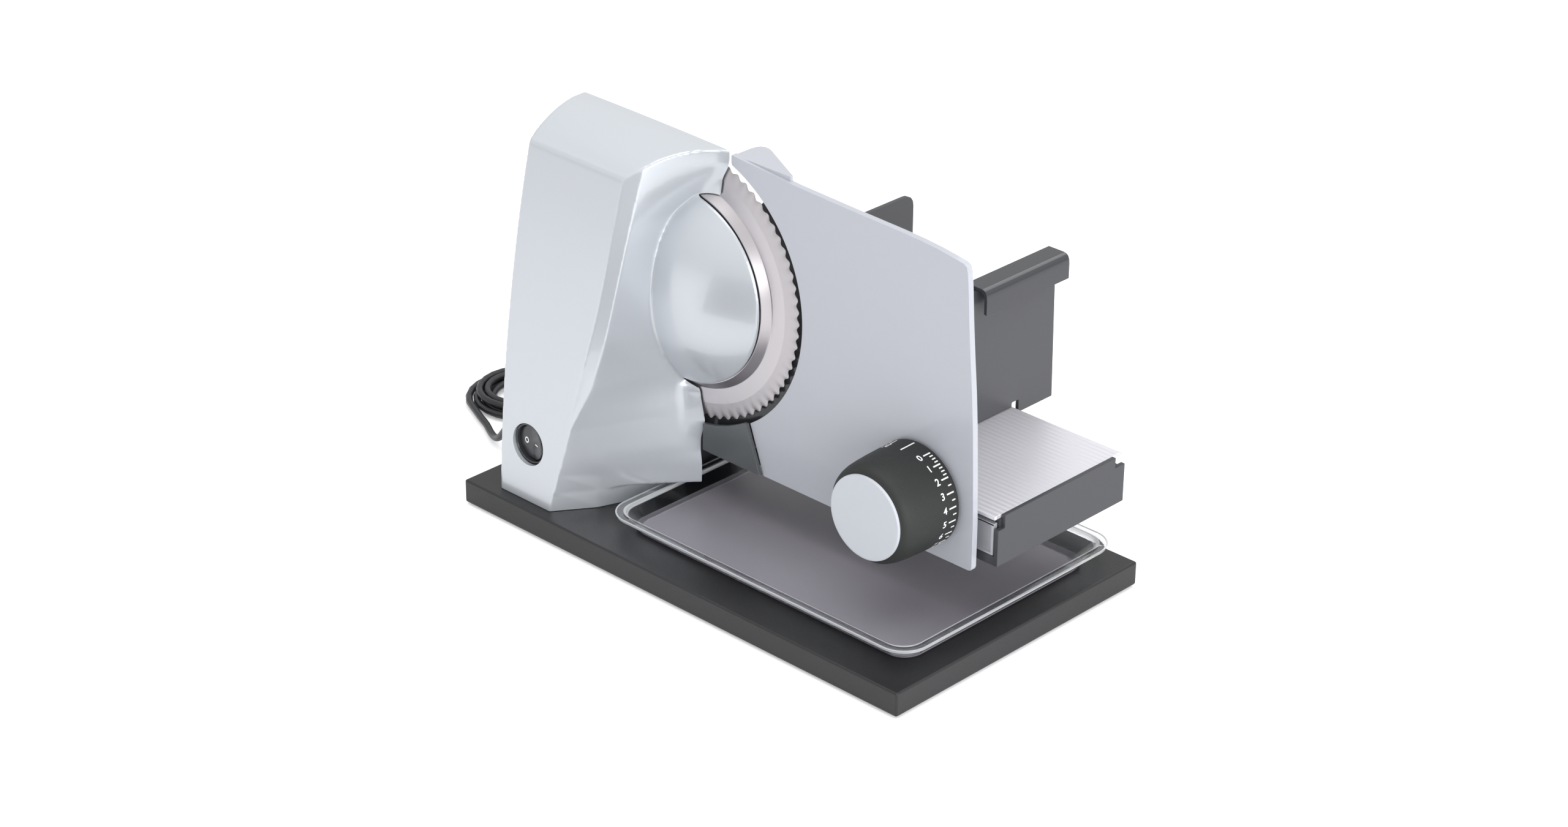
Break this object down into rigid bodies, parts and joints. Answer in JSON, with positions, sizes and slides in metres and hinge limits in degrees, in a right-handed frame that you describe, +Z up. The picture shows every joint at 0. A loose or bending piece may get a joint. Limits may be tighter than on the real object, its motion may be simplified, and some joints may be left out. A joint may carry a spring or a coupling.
{
  "type": "electric food slicer",
  "caption": "Electric food slicer with a round serrated blade, silver housing, gauge plate with dial, sliding food carriage with remnant holder, clear tray, black base and mains cord.",
  "frame": {"origin": "middle of the footprint, on the surface that the feet stand on", "axes": "+X along the base towards the gauge dial, +Y towards the food side, away from the switch, +Z up"},
  "size_m": [0.4627, 0.2354, 0.2491],
  "materials": {
    "paint": "satin silver grey",
    "plate_paint": "satin silver",
    "black_base": "satin black",
    "black_plastic": "glossy black",
    "rubber": "matt black",
    "steel": "polished",
    "aluminium": "brushed",
    "clear": "clear",
    "nylon": "matt",
    "cap_grey": "satin",
    "brass": "plain"
  },
  "bodies": {
    "stand": {"base_plate": "black_base", "foot_1": "rubber", "foot_2": "rubber", "foot_3": "rubber", "foot_4": "rubber", "motor_housing": "paint", "gear_plate": "aluminium", "idler_pin": "steel", "motor_body": "black_base", "motor_bracket": "aluminium", "blade_guard": "black_plastic", "guard_ring": "black_plastic", "support_arm": "black_plastic", "slide_guide": "black_plastic", "switch_body": "black_plastic", "cord_gland": "rubber", "cord_lead": "rubber", "cord_coil": "rubber", "cord_tail": "rubber", "cord_tie": "black_plastic", "plug_body": "black_plastic", "plug_pin_1": "brass", "plug_pin_2": "brass"},
    "blade": {"blade": "steel", "blade_gear": "nylon", "blade_lock_screw": "steel"},
    "idler": {"idler_gear": "nylon"},
    "armature": {"motor_pinion": "steel"},
    "gauge": {"gauge_plate": "plate_paint", "gauge_bar_1": "aluminium", "gauge_bar_2": "aluminium"},
    "dial": {"dial_knob": "black_plastic", "dial_cap": "cap_grey"},
    "carriage": {"carriage_table": "aluminium", "carriage_frame": "black_plastic", "carriage_rail": "aluminium", "carriage_wall": "black_plastic"},
    "pusher": {"pusher": "black_plastic"},
    "tray": {"tray": "clear"},
    "rocker": {"switch_rocker": "black_plastic"}
  },
  "joints": [
    {"name": "blade_spin", "type": "hinge", "parent": "stand", "child": "blade", "pos_m": [-0.0648, -0.03275, 0.156], "axis": [0, 1, 0], "continuous": true},
    {"name": "idler_spin", "type": "hinge", "parent": "stand", "child": "idler", "pos_m": [-0.10709, -0.05475, 0.14061], "axis": [0, 1, 0], "continuous": true},
    {"name": "armature_spin", "type": "hinge", "parent": "stand", "child": "armature", "pos_m": [-0.11251, -0.05475, 0.10199], "axis": [0, 1, 0], "continuous": true},
    {"name": "gauge_slide", "type": "slide", "parent": "stand", "child": "gauge", "axis": [0, -1, 0], "range_m": [0, 0.02]},
    {"name": "dial_turn", "type": "hinge", "parent": "gauge", "child": "dial", "pos_m": [0.1154, -0.06, 0.0872], "axis": [0, -1, 0], "range_deg": [0, 331]},
    {"name": "carriage_slide", "type": "slide", "parent": "stand", "child": "carriage", "axis": [1, 0, 0], "range_m": [-0.11, 0.045]},
    {"name": "pusher_slide", "type": "slide", "parent": "carriage", "child": "pusher", "axis": [0, -1, 0], "range_m": [0, 0.066]},
    {"name": "tray_slide", "type": "slide", "parent": "stand", "child": "tray", "axis": [0, -1, 0], "range_m": [0, 0.2]},
    {"name": "switch_press", "type": "hinge", "parent": "stand", "child": "rocker", "pos_m": [-0.1286, -0.10225, 0.0529], "axis": [0, 0, 1], "range_deg": [0, 16]}
  ],
  "couplings": [
    {"joint": "idler_spin", "follows": "blade_spin", "ratio": -4},
    {"joint": "armature_spin", "follows": "blade_spin", "ratio": 13.333},
    {"joint": "dial_turn", "follows": "gauge_slide", "rad_per_m": 288}
  ]
}
